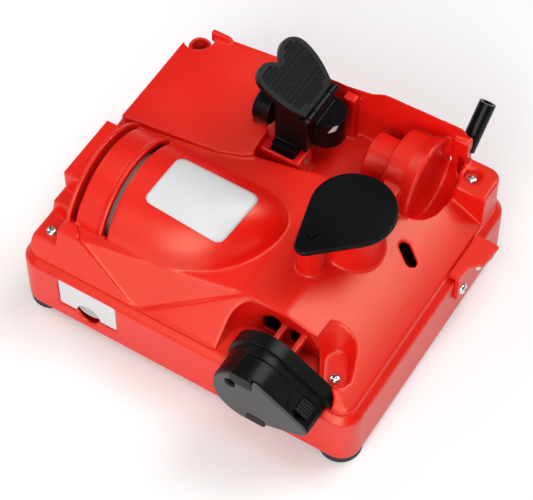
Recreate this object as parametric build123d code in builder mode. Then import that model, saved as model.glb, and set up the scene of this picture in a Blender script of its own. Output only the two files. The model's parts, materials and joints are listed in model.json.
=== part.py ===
"""Bench sharpener for knives, drill bits and blades: a motor under a red moulded housing.

Millimetres. X runs to the right along the front, Y to the back and Z up. The origin lies on the
surface the feet stand on, under the middle of the base tray.
"""
import math
import os

from build123d import *

os.makedirs("parts", exist_ok=True)

# Fits
slip = 0.3                 # gap between pieces that move past each other
running = 0.05             # radial clearance of a shaft in its bearing
wall = 3.0                 # moulded wall of the housing and of the base

# Base tray: the rest is measured from its four walls
base_length = 250.0
base_depth = 206.0
base_corner = 14.0
base_top = 49.5            # height of the seam between tray and housing
rim_chamfer = 4.8
base_floor = 3.5
foot_height = 5.0
foot_radius = 14.0
foot_inset = 14.5
foot_stem_radius = 4.0
front_wall = -base_depth / 2
back_wall = base_depth / 2
left_wall = -base_length / 2
right_wall = base_length / 2

# Housing skirt and decks
deck_z = 79.0
deck_left = left_wall + 10.5
deck_back = back_wall - 8.0
deck_front = front_wall + 13.2       # upper edge of the steep front wall
crease_x = 57.0            # where the deck turns down to the right
right_rise = 3.0           # height of the right edge above the seam
right_sag = 3.0            # bulge of the right slope
slope_foot = (front_wall + 5.0, 51.5)     # y and z of the front slope's lower edge
slope_top = (front_wall + 35.0, deck_z)
slope_left = (-48.0, 33.0)           # x of the slope's left end below and above

# Ledge before the knife bump, given as x and z, and the sunk facet under it
ledge_left = (-84.0, 76.0)
ledge_right = (25.0, 78.8)
stripe_back = (-102.7, front_wall + 35.0)     # ends of the step from the deck down to the ledge
stripe_front = (-81.0, front_wall + 13.5)
facet_left = (-81.0, front_wall + 15.6, 75.0)
facet_foot = (-39.0, front_wall + 6.0, base_top)
facet_heel = (-33.0, front_wall + 7.0, base_top)
facet_right = (28.5, front_wall + 35.4, 78.5)

# Rear panel, whose top twists up to the back right, and left block
panel_edge = ((deck_left + 0.5, 5.0), (-95.0, 8.0), (-46.0, 15.0), (-31.0, 20.0), (-24.0, 24.0))
panel_start = 0.0
panel_front_z = (83.8, 77.5)
panel_back_z = (84.0, 97.5)
tab_span = (-99.0, -84.0)
tab_top = 91.5
tab_depth = 4.0
block_right = -97.0
block_front = -60.0
block_back = -10.0
block_top = 96.0

# Knife bump over the motor: a barrel to the left of x bump_barrel, then a tapering nose
bump_barrel = -60.0
bump_nose = 24.0
bump_y = -36.0
bump_z = 62.0
bump_radius = 45.5
nose_shift = (18.0, 12.0)            # the nose's end lies this much further back and up
nose_powers = (3.2, 2.0, 3.0, 0.5)   # how fast it shifts back, up, and tapers
nose_shares = (0.0, 0.2, 0.4, 0.55, 0.7, 0.82, 0.91, 0.965, 0.99)
slot_width = 3.4
slot_places = (-95.0, -71.0)
slot_front = (-79.0, 76.5)
slot_back = (2.0, 87.0)
lip_height = 1.4
lip_width = 3.0
bump_left = slot_places[0] - slot_width / 2 - lip_width     # the left lip stands on the end wall

# Turret with its swing cover
turret_x = 63.0
turret_y = 1.8
turret_radius = 21.0
turret_top = 108.8
well_radius = 17.5
well_floor = 85.0
pivot_x = 51.0
pivot_y = -28.5
boss_radius = 9.0
cover_radius = 28.0
cover_tip = (51.5, -37.0)
cover_tip_radius = 7.0
cover_thickness = 3.0
pivot_radius = 2.0
pivot_head = 3.4
pivot_depth = 24.0

# Rear hood, its axis is the rear spindle
hood_y = 68.0
hood_z = 78.0
collar_left = 39.4
collar_radius = 16.0
port_radius = 12.5
hood_left = 58.3
barrel_radius = 26.5
flare_left = 72.0
hood_right = 82.0
rim_radius = 30.5
rim_round = 1.5
bowl_middle = 88.0         # the bowl at its right end, as x and radius along its wall
bowl_wall = (
    (78.6, 6.0),
    (79.6, 18.0),
    (82.5, 27.5),
    (88.0, 25.0),
    (93.0, 19.5),
    (96.5, 11.0),
    (97.5, 4.0),
)
web_width = 12.0           # cover over the belt between turret and hood
web_back = 54.0
web_low = 81.0
web_high = 94.0
oval_place = (94.5, 19.0)
oval_size = (17.0, 7.5)
oval_turn = -35.0

# Trough between rear panel and hood, with the tool holder's pedestal and stop post
trough_back = back_wall - 12.5
trough_floor = 60.0
trough_outline = (
    (-25.0, 26.5),
    (8.0, 33.0),
    (20.0, 37.0),
    (hood_left, 40.0),
    (hood_left, trough_back),
    (-38.0, trough_back),
    (-38.0, 45.5),
    (-25.0, 45.5),
)
ridge_line = (
    (-38.0, 95.5),
    (4.6, 97.8),
    (22.7, 101.4),
    (32.7, 107.0),
    (89.4, 109.0),
    (93.5, 105.0),
    (95.5, 80.0),
)
ridge_step = 84.5
ridge_crest = 0.8
pedestal_left = -25.0
pedestal_right = 4.0
pedestal_front = 34.7
pedestal_back = 52.0
pedestal_top = 78.0
fork_left = -20.0
fork_right = -2.0
fork_front = 37.2
fork_floor = 63.5
rock_y = 44.0
rock_z = 72.0
rock_pin_radius = 2.5
stop_left = 7.0
stop_right = 16.0
stop_front = 84.5
stop_top = 98.5

# Tool holder: the clamp plate slopes up to the left from its lower edge
plate_angle = 32.0
plate_x = 1.4
plate_y = 45.7
plate_z = 114.0
plate_thickness = 3.0
plate_back_lobe = ((0, 33), (10, 38), (25, 42), (36, 40.5), (42, 31), (39, 22), (34, 17))
plate_front_lobe = ((34, 17), (40, 12), (43, 5), (40, -3), (25, -6), (10, -4), (0, 0))
plate_rim = 1.2
rim_width = 4.4
ridge_pitch = 3.0
ridge_count = 13
holder_front = 44.0
holder_back = 78.0
holder_left = -20.0
holder_right = 4.0
holder_low = 81.0
holder_foot = 5.0
drum_x = 5.0
drum_y = 68.0
drum_radius = 13.0
drum_low = 77.0
drum_high = 100.0
hinge_x = 3.2
hinge_z = 111.3
hinge_radius = 3.2
hinge_pin_radius = 1.5
knuckle_front = 54.0
knuckle_back = 72.0
knob_y = 50.0
knob_z = 104.0
knob_left = -34.5
knob_right = -22.5
knob_radius = 12.0
knob_edge = 1.5
knob_stem_radius = 3.0
knob_stem_depth = 16.0

# Cord sleeve at the back
sleeve_root = (91.8, back_wall - 5.0, 85.3)
sleeve_aim = (93.3, back_wall + 17.0, 111.0)
sleeve_radius = 5.65
sleeve_bore = 3.4
cord_way = (92.5, back_wall - 9.5)
cord_way_radius = 3.0
cord_boss_x = 90.5
cord_boss_width = 11.0
cord_boss_top = 100.0

# Front alcove and drill guide, its axis runs to the front
guide_x = 59.0
guide_z = 55.0
alcove_left = 24.0
alcove_back = front_wall + 34.0
alcove_round = 14.0
alcove_right = ((82.0, alcove_back), (84.0, alcove_back - 3.0), (94.0, alcove_back - 21.0))
rib_places = (57.0, 71.0)
rib_width = 4.4
rib_span = (61.0, 68.0)
window_spans = ((41.0, 53.5), (60.5, 67.5))
window_rise = (52.0, 66.0)
mount_back = front_wall + 16.0
flange_front = front_wall + 6.0
flange_lip = 2.6
mount_front = front_wall - slip
guide_back = mount_front - slip
guide_front = guide_back - 14.8
face_front = guide_front - 2.5
face_inset = 1.0
guide_radius = 23.4
guide_pin_radius = 4.0
guide_tip = (98.0, 51.0)
guide_tip_radius = 6.0
face_lugs = ((57.0, 73.0, 16.0, 10.0), (67.5, 36.5, 14.0, 8.0))     # x, z, width and height
lug_corner = 3.0
slide_place = 28.0         # along the sloped edge from the round
slide_stem = 5.0
slide_length = 11.0
slide_width = 10.0
slide_neck = 4.0
slide_travel = 4.0
drill_port = (49.0, 65.0)
drill_port_radius = 4.0

# Screws that hold the housing: x, y and height of the head's seat
screw_places = (
    (right_wall - 26.3, front_wall + 25.2, 52.0),
    (left_wall + 17.5, front_wall + 18.0, 66.0),
    (right_wall - 21.5, back_wall - 17.0, 74.0),
    (left_wall + 19.0, back_wall - 15.0, 66.0),
)
screw_tip = 30.0
screw_radius = 2.0
screw_head_radius = 3.9
screw_head_height = 2.6
post_radius = 5.0
pad_height = 5.5
scoop_radius = 7.0         # teardrop scoop of the front right screw
scoop_length = 13.0
scoop_turn = 117.0
scoop_flare = 28.0
notch_right = left_wall + 25.5       # open corner of the front left screw
notch_back = front_wall + 31.0
notch_round = 8.0
lug_reach = 26.0           # lug of the back right screw
lug_top = 79.0
sink_radius = 5.5
ring_radius = 8.0          # ring round the back left screw
ring_top = 76.0
scallop_radius = 11.0

# Main spindle
spindle_y = -34.0
spindle_z = 57.0
shaft_radius = 4.0
shaft_left = -94.0
shaft_right = 78.8
bearing_radius = 11.0
bearing_width = 7.0
knife_wheel_radius = 36.0
knife_wheel_left = -92.8
knife_wheel_right = -73.2
wheel_recess = 6.0
recess_radius = 14.0
left_bracket = (-71.0, -62.0)
right_bracket = (3.0, 12.0)
end_bracket = (72.0, 79.0)
end_bearing_radius = 8.0
end_bearing_width = 5.0
drill_wheel_radius = 17.0
drill_wheel_left = 46.0
drill_wheel_right = 60.0
stator_left = -46.0
stator_right = -18.0
stator_radius = 31.0
rotor_radius = 16.4
air_gap = 0.8
commutator_left = -10.0
commutator_right = 0.0
commutator_radius = 10.0
fan_left = -61.0
fan_right = -54.5
fan_radius = 28.0

coil_radius = 23.0
coil_depth = 6.0
coil_width = 7.0
coil_end = 6.0
brush_width = 7.0
brush_height = 6.0
brush_length = 15.0
brush_reach = 28.0
flange_thickness = 2.0
nut_radius = 6.5
strap_x = -32.0
strap_width = 8.0
strap_reach = 37.0
strap_z = 43.0
tab_length = 10.0
bracket_screw_depth = 6.0

# Belt drive to the rear spindle
belt_left = 65.5
belt_width = 4.0
belt_thickness = 1.6
belt_gap = 0.06
flange_rise = 2.2
drive_pulley_radius = 8.0
driven_pulley_radius = 12.0
rear_shaft_radius = 3.0
rear_bearing_radius = 6.5
rear_bearing_width = 3.5
nose_radius = 9.0
rear_block = (70.9, 75.0)
rear_bearing_left = 66.5
wheel_screw_radius = 1.5
blade_wheel_radius = 21.0
blade_wheel_left = 61.8
blade_wheel_right = 64.2

# Drawer in the front wall
drawer_x = -71.5
drawer_width = 44.0
drawer_low = 18.5
drawer_high = 43.6
drawer_box_top = 36.0
drawer_back = front_wall + 35.0
drawer_recess = 0.8
drawer_wall = 1.8
notch_radius = 9.0
runner_width = 4.0

# Side rest on the right wall, its outline as distance from that wall and y
rest_screws = ((34.0, 34.0), (56.0, 34.0))
rest_z = 50.2
rest_thickness = 3.0
rest_outline = ((-4.0, 26.5), (2.5, 27.5), (4.5, 40.0), (11.5, 46.0), (13.0, 63.0), (-4.0, 64.5))
rest_tab = 34.0

# Rocker switch in the left wall
switch_y = -15.0
switch_z = 27.0
switch_length = 27.0
switch_height = 13.0
switch_depth = 18.0
bezel_rise = 1.6
rocker_half = 10.0
rocker_pin = (left_wall + 3.0, switch_y)
rocker_pin_radius = 1.2

# Cord clamp on the floor of the base
clamp_x = right_wall - 22.0
clamp_y = 38.0
clamp_size = (24.0, 10.0, 8.0)
clamp_bore = 3.2

skirt_length = base_length - 2 * rim_chamfer
skirt_depth = base_depth - 2 * rim_chamfer
skirt_corner = base_corner - rim_chamfer
floor_z = foot_height + base_floor
hub_left = knife_wheel_left + wheel_recess
hub_right = knife_wheel_right - wheel_recess
mount_radius = guide_radius + flange_lip
flange_tip = guide_tip_radius + flange_lip
far = 60.0                 # reach of a cut that runs out into the open


def across(x):
    """Plane across the machine at x: its own axes are Y and Z, and it faces right."""
    return Plane.YZ.offset(x)


def facing(y):
    """Plane facing the front at y: its own axes are X and Z."""
    return Plane.XZ.offset(-y)


def level(z):
    """Horizontal plane at z."""
    return Plane.XY.offset(z)


def ring(left, right, radius, bore, center):
    """Round piece along X between left and right, on a centre given as (y, z)."""
    with BuildSketch(across(left)) as profile:
        with Locations(center):
            Circle(radius)
            if bore > 0:
                Circle(bore, mode=Mode.SUBTRACT)
    extrude(profile.sketch, amount=right - left)


def polygon(plane, points, grow=0.0):
    """Sketch of an outline on a plane; grow moves all its sides outward."""
    with BuildSketch(plane) as outline:
        with BuildLine():
            Polyline(*points, close=True)
        make_face()
        if grow:
            offset(amount=grow, kind=Kind.INTERSECTION)
    return outline.sketch


def disc(plane, center, radius):
    """Sketch of a circle on a plane."""
    with BuildSketch(plane) as outline:
        with Locations(center):
            Circle(radius)
    return outline.sketch


def lower_body(inset):
    """Skirt and decks of the housing; a positive inset gives the space inside its walls."""
    below = base_top - 4 * wall
    right = skirt_length / 2
    run = right - crease_x
    fall = deck_z - base_top - right_rise
    span = math.hypot(run, fall)
    bulge = (
        (crease_x + right) / 2 + right_sag * fall / span,
        (deck_z + base_top + right_rise) / 2 + right_sag * run / span,
    )
    with BuildSketch(facing(skirt_depth / 2)) as profile:
        with BuildLine():
            Polyline(
                (crease_x, deck_z),
                (deck_left, deck_z),
                (-right, base_top),
                (-right, below),
                (right, below),
                (right, base_top + right_rise),
            )
            ThreePointArc((right, base_top + right_rise), bulge, (crease_x, deck_z))
        make_face()
        if inset:
            offset(amount=-inset, kind=Kind.INTERSECTION)
    extrude(profile.sketch, amount=skirt_depth)
    back = skirt_depth / 2
    sides = (
        (-back, below),
        (-back, base_top),
        (deck_front, deck_z),
        (deck_back, deck_z),
        (back, base_top),
        (back, below),
    )
    extrude(polygon(across(-right), sides, -inset), amount=skirt_length, mode=Mode.INTERSECT)


def trim_footprint(inset):
    """Keep only what stands on the rounded footprint, from the seam up."""
    with BuildSketch(level(base_top - inset)) as profile:
        RectangleRounded(skirt_length - 2 * inset, skirt_depth - 2 * inset, skirt_corner - inset)
    extrude(profile.sketch, amount=base_length, mode=Mode.INTERSECT)


def facet_cut(plane, outline, grow):
    """Cut off what lies over a facet, inside an outline of points near its plane."""
    lowered = plane.offset(-grow)
    places = [lowered.to_local_coords(Vector(*point)) for point in outline]
    corners = [(place.X, place.Y) for place in places]
    extrude(polygon(lowered, corners, grow), amount=far, mode=Mode.SUBTRACT)


def front_facets(grow):
    """Cut the ledge before the knife bump, the sunk facet below it and the slope to its right."""
    run = ledge_right[0] - ledge_left[0]
    rise = ledge_right[1] - ledge_left[1]
    corner = (ledge_left[0], deck_front, ledge_left[1])
    ledge = Plane(origin=corner, x_dir=(run, 0, rise), z_dir=(-rise, 0, run))
    outside = front_wall - 7
    ledge_plan = (
        stripe_back,
        stripe_front,
        (stripe_front[0], outside),
        (ledge_right[0], outside),
        (ledge_right[0], bump_y),
        (block_right, bump_y),
        (block_right, block_front),
        (stripe_back[0], block_front),
    )
    facet_cut(ledge, [(x, y, deck_z) for x, y in ledge_plan], grow)
    left, foot, heel, right = [Vector(*point) for point in (facet_left, facet_foot, facet_heel, facet_right)]
    outward = (foot - left).cross(right - left).normalized()
    facet = Plane(origin=foot, x_dir=right - foot, z_dir=outward)
    beyond = 0.2
    facet_cut(facet, [foot, heel, right + (right - heel) * beyond, left + (left - foot) * beyond], grow)
    deep = slope_top[0] - slope_foot[0]
    high = slope_top[1] - slope_foot[1]
    slope_plane = Plane(origin=(0, *slope_foot), x_dir=(1, 0, 0), z_dir=(0, -high, deep))
    low_edge = (slope_foot[0] - 0.13 * deep, slope_foot[1] - 0.13 * high)
    top_edge = (slope_top[0] + 0.1 * deep, slope_top[1] + 0.1 * high)
    right_end = right_wall + 10
    slope_plan = (
        (slope_left[0], *low_edge),
        (slope_left[1], *top_edge),
        (right_end, *top_edge),
        (right_end, *low_edge),
    )
    facet_cut(slope_plane, slope_plan, grow)


def rear_panel(inset):
    """Panel behind the knife bump: its top twists, and its front edge bends to the back."""
    low = deck_z - 12
    ends = []
    for y, heights in ((panel_start, panel_front_z), (deck_back - inset, panel_back_z)):
        left = panel_edge[0][0] + inset
        right = panel_edge[-1][0] - inset
        corners = ((left, low), (left, heights[0] - inset), (right, heights[1] - inset), (right, low))
        ends.append(polygon(facing(y), corners).face())
    twisted = loft(ends, ruled=True, mode=Mode.PRIVATE)
    plan = (*panel_edge, (panel_edge[-1][0], deck_back), (panel_edge[0][0], deck_back))
    column = extrude(polygon(level(low), plan, -inset), amount=far, mode=Mode.PRIVATE)
    add(twisted & column)


def knife_bump(inset):
    """Barrel over the knife wheel that narrows to a nose on the deck."""
    ring(bump_left + inset, bump_barrel, bump_radius - inset, 0, (bump_y, bump_z))
    back_power, up_power, share_power, taper_power = nose_powers
    sections = []
    for share in nose_shares:
        x = bump_barrel + share * (bump_nose - bump_barrel)
        y = bump_y + share**back_power * nose_shift[0]
        z = bump_z + share**up_power * nose_shift[1]
        radius = bump_radius * (1 - share**share_power) ** taper_power
        if radius > 1.5 * inset:
            sections.append(disc(across(x), (y, z), radius - inset).face())
    loft(sections)


def hood_plane():
    """Plane through the hood's axis: its own axes are X and the radius."""
    return Plane((0, hood_y, hood_z), x_dir=(1, 0, 0), z_dir=(0, -1, 0))


def upper_forms(inset):
    """Panel, block, bump, turret, hood and screw lug that stand on the decks."""
    low = deck_z - 12
    rear_panel(inset)
    knife_bump(inset)
    block_left = deck_left + 1
    with BuildSketch(level(base_top + 4)) as profile:
        with Locations(((block_left + block_right) / 2, (block_front + block_back) / 2)):
            Rectangle(block_right - block_left - 2 * inset, block_back - block_front - 2 * inset)
    extrude(profile.sketch, amount=block_top - base_top - 4 - inset)
    extrude(disc(level(low), (turret_x, turret_y), turret_radius - inset), amount=turret_top - low - inset)
    web = ((turret_y, low), (turret_y, web_low - inset), (web_back, web_high - inset), (web_back, low))
    web_left = belt_left + belt_width / 2 - web_width / 2 + inset
    extrude(polygon(across(web_left), web), amount=web_width - 2 * inset)
    drum = (
        (hood_left + inset, 0),
        (hood_left + inset, barrel_radius - inset),
        (flare_left, barrel_radius - inset),
        (hood_right - rim_round, rim_radius - inset),
        (hood_right, rim_radius - rim_round - inset),
        (hood_right, 0),
    )
    revolve(polygon(hood_plane(), drum), axis=Axis((0, hood_y, hood_z), (1, 0, 0)))
    with BuildSketch(level(base_top - inset)) as profile:
        with Locations(((hood_left + hood_right) / 2, hood_y)):
            Rectangle(hood_right - hood_left - 2 * inset, 2 * (barrel_radius - inset))
    extrude(profile.sketch, amount=hood_z - base_top + inset)
    with BuildSketch(level(base_top - inset)) as profile:
        with Locations(((skirt_length - lug_reach) / 2, (skirt_depth - lug_reach) / 2)):
            Rectangle(lug_reach - 2 * inset, lug_reach - 2 * inset)
    extrude(profile.sketch, amount=lug_top - base_top)


def screw_spaces(grow):
    """Cut the scoop, corner, sink and scallop in which the four housing screws sit."""
    x, y, seat = screw_places[0]
    with BuildSketch(level(seat - grow)) as profile:
        turn = math.radians(scoop_turn)
        with Locations((x + math.cos(turn) * scoop_length / 2, y + math.sin(turn) * scoop_length / 2)):
            SlotCenterToCenter(scoop_length, 2 * (scoop_radius + grow), rotation=scoop_turn)
    extrude(profile.sketch, amount=far / 3, taper=-scoop_flare, mode=Mode.SUBTRACT)
    seat = screw_places[1][2]
    with BuildSketch(level(seat - grow)) as profile:
        with Locations((notch_right - far / 2 + grow, notch_back - far / 2 + grow)):
            RectangleRounded(far, far, notch_round + grow)
    extrude(profile.sketch, amount=far, mode=Mode.SUBTRACT)
    x, y, seat = screw_places[2]
    extrude(disc(level(seat - grow), (x, y), sink_radius + grow), amount=far, mode=Mode.SUBTRACT)
    x, y, seat = screw_places[3]
    extrude(disc(level(seat - grow), (x, y), scallop_radius + grow), amount=far, mode=Mode.SUBTRACT)
    corner = ((x, y), (x - far, y), (x - far, y + far), (x, y + far))
    extrude(polygon(level(seat - grow), corner, grow), amount=far, mode=Mode.SUBTRACT)


def open_spaces(grow):
    """Cut trough, alcove, well and end bowl; grow leaves room for the walls round them."""
    extrude(polygon(level(trough_floor - grow), trough_outline, grow), amount=far, mode=Mode.SUBTRACT)
    outside = front_wall - 7
    right_end = (alcove_right[-1][0], outside)
    alcove = ((alcove_left, outside), (alcove_left, alcove_back), *alcove_right, right_end)
    with BuildSketch(level(base_top - grow)) as profile:
        add(polygon(Plane.XY, alcove, grow))
        bend = profile.vertices().sort_by_distance((alcove_left - grow, alcove_back + grow, 0))[0]
        fillet(bend, radius=alcove_round + grow)
    extrude(profile.sketch, amount=far, mode=Mode.SUBTRACT)
    well = disc(level(well_floor - grow), (turret_x, turret_y), well_radius + grow)
    extrude(well, amount=far, mode=Mode.SUBTRACT)
    bowl = []
    for x, radius in bowl_wall:
        away = Vector(x - bowl_middle, radius).normalized() * grow
        bowl.append((x + away.X, radius + away.Y))
    with BuildSketch(hood_plane()) as profile:
        with BuildLine():
            Spline(*bowl, tangents=((0, 1), (0, -1)))
            Polyline(bowl[-1], (bowl[-1][0], 0), (bowl[0][0], 0), bowl[0])
        make_face()
    revolve(profile.sketch, axis=Axis((0, hood_y, hood_z), (1, 0, 0)), mode=Mode.SUBTRACT)
    screw_spaces(grow)


def teardrop(center_radius, tip_radius, y):
    """Round with a tip to the right, drawn on a plane facing the front."""
    with BuildSketch(facing(y)) as drop:
        with Locations((guide_x, guide_z)):
            Circle(center_radius)
        with Locations(guide_tip):
            Circle(tip_radius)
        make_hull()
    return drop.sketch


# Space inside the housing
with BuildPart() as cavity:
    lower_body(wall)
    front_facets(wall)
    upper_forms(wall)
    trim_footprint(wall)
    open_spaces(wall)

# Upper housing: the moulded shell that carries every station
sleeve_way = Vector(*sleeve_aim) - Vector(*sleeve_root)
sleeve_plane = Plane(origin=sleeve_root, x_dir=(1, 0, 0), z_dir=sleeve_way)
sky = turret_top + 10
slot_view = (slot_front, slot_back, (slot_back[0], sky), (slot_front[0] - 8, sky))
with BuildPart() as upper_housing:
    lower_body(0)
    front_facets(0)
    upper_forms(0)
    trim_footprint(0)
    open_spaces(0)
    add(cavity.part, mode=Mode.SUBTRACT)
    # raised lips and the knife slots beside them
    for place in slot_places:
        with BuildSketch(across(place - slot_width / 2 - lip_width)) as lip:
            with Locations((bump_y, bump_z)):
                Circle(bump_radius + lip_height)
                Circle(bump_radius - 1, mode=Mode.SUBTRACT)
            add(polygon(Plane.XY, slot_view), mode=Mode.INTERSECT)
        extrude(lip.sketch, amount=lip_width)
        extrude(polygon(across(place - slot_width / 2), slot_view), amount=slot_width, mode=Mode.SUBTRACT)
    # pivot boss of the swing cover and the rib that ties it to the turret
    with BuildSketch(level(deck_z - wall)) as boss:
        with Locations((pivot_x, pivot_y)):
            Circle(boss_radius)
        lean = math.degrees(math.atan2(turret_y - pivot_y, turret_x - pivot_x))
        with Locations((0.6 * pivot_x + 0.4 * turret_x, 0.6 * pivot_y + 0.4 * turret_y)):
            Rectangle(16, 10, rotation=lean)
    extrude(boss.sketch, amount=turret_top - deck_z + wall)
    well = disc(level(well_floor), (turret_x, turret_y), well_radius)
    extrude(well, amount=turret_top - well_floor, mode=Mode.SUBTRACT)
    pivot_hole = disc(level(turret_top), (pivot_x, pivot_y), pivot_radius + running)
    extrude(pivot_hole, amount=-pivot_depth, mode=Mode.SUBTRACT)
    # collar of the tool port
    ring(collar_left, hood_left + 1, collar_radius, 0, (hood_y, hood_z))
    port = disc(across(collar_left), (hood_y, hood_z), port_radius)
    extrude(port, amount=hood_left - collar_left + wall + 0.5, mode=Mode.SUBTRACT)
    # ridge along the back, its front face leans back over the trough
    crest = ((ridge_line[0][0], deck_z - 2), *ridge_line)
    step = [(x, min(z, ridge_step)) for x, z in crest]
    crest_face = polygon(facing(deck_back - ridge_crest), crest).face()
    loft([crest_face, polygon(facing(trough_back), step).face()], ruled=True)
    extrude(crest_face, amount=-ridge_crest)
    # tab on the panel's back edge
    with BuildSketch(level(panel_back_z[0] - 2)) as tab:
        with Locations(((tab_span[0] + tab_span[1]) / 2, deck_back - tab_depth / 2)):
            Rectangle(tab_span[1] - tab_span[0], tab_depth)
    extrude(tab.sketch, amount=tab_top - panel_back_z[0] + 2)
    # boss behind the ridge with the way of the cord down into the base
    with BuildSketch(level(base_top)) as cord_boss:
        with Locations((cord_boss_x, (trough_back + skirt_depth / 2) / 2)):
            Rectangle(cord_boss_width, skirt_depth / 2 - trough_back)
    extrude(cord_boss.sketch, amount=cord_boss_top - base_top)
    extrude(disc(sleeve_plane, (0, 0), sleeve_radius), amount=far, mode=Mode.SUBTRACT)
    way = disc(level(base_top), cord_way, cord_way_radius)
    extrude(way, amount=sleeve_root[2] - base_top, mode=Mode.SUBTRACT)
    # fork of the tool holder, open to the back, and the stop post behind it
    with BuildSketch(facing(pedestal_back)) as fork:
        with Locations(((pedestal_left + pedestal_right) / 2, (trough_floor - 1 + pedestal_top) / 2)):
            RectangleRounded(pedestal_right - pedestal_left, pedestal_top - trough_floor + 1, 2)
    extrude(fork.sketch, amount=pedestal_back - pedestal_front)
    with BuildSketch(facing(pedestal_back)) as gap:
        with Locations(((fork_left + fork_right) / 2, (fork_floor + pedestal_top + 6) / 2)):
            RectangleRounded(fork_right - fork_left, pedestal_top + 6 - fork_floor, 4)
    extrude(gap.sketch, amount=pedestal_back - fork_front, mode=Mode.SUBTRACT)
    pin_hole = disc(across(pedestal_left), (rock_y, rock_z), rock_pin_radius)
    extrude(pin_hole, amount=pedestal_right - pedestal_left, mode=Mode.SUBTRACT)
    with BuildSketch(level(trough_floor - 1)) as stop:
        with Locations(((stop_left + stop_right) / 2, (stop_front + trough_back + 1) / 2)):
            Rectangle(stop_right - stop_left, trough_back + 1 - stop_front)
    extrude(stop.sketch, amount=stop_top - trough_floor + 1)
    # windows in the alcove's back wall, ribs beside them and the way of the drill
    with BuildSketch(facing(alcove_back + wall + 1)) as windows:
        for left, right in window_spans:
            with Locations(((left + right) / 2, (window_rise[0] + window_rise[1]) / 2)):
                Rectangle(right - left, window_rise[1] - window_rise[0])
        with Locations(drill_port):
            Circle(1.25 * drill_port_radius)
    extrude(windows.sketch, amount=wall + 2, mode=Mode.SUBTRACT)
    with BuildSketch(facing(alcove_back + 1)) as ribs:
        with Locations(*[(place, (rib_span[0] + rib_span[1]) / 2) for place in rib_places]):
            Rectangle(rib_width, rib_span[1] - rib_span[0])
    extrude(ribs.sketch, amount=alcove_back + 1 - mount_back)
    # seat of the drill guide's mount beside the alcove
    seat_shape = teardrop(mount_radius + slip, flange_tip + slip, mount_back + slip)
    extrude(seat_shape, amount=far, mode=Mode.SUBTRACT)
    # oval hole in the right slope
    with BuildSketch(level(base_top)) as oval:
        with Locations(oval_place):
            SlotOverall(*oval_size, rotation=oval_turn)
    extrude(oval.sketch, amount=far, mode=Mode.SUBTRACT)
    # screw bosses, ring, head seats and holes
    for x, y, seat in screw_places:
        extrude(disc(level(base_top), (x, y), post_radius), amount=seat - base_top)
    x, y, seat = screw_places[3]
    ring_wall = disc(level(seat - wall), (x, y), ring_radius) - disc(level(seat - wall), (x, y), sink_radius)
    extrude(ring_wall, amount=ring_top - seat + wall)
    for x, y, seat in screw_places:
        extrude(disc(level(seat), (x, y), screw_radius + running), amount=base_top - seat, mode=Mode.SUBTRACT)

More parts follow.
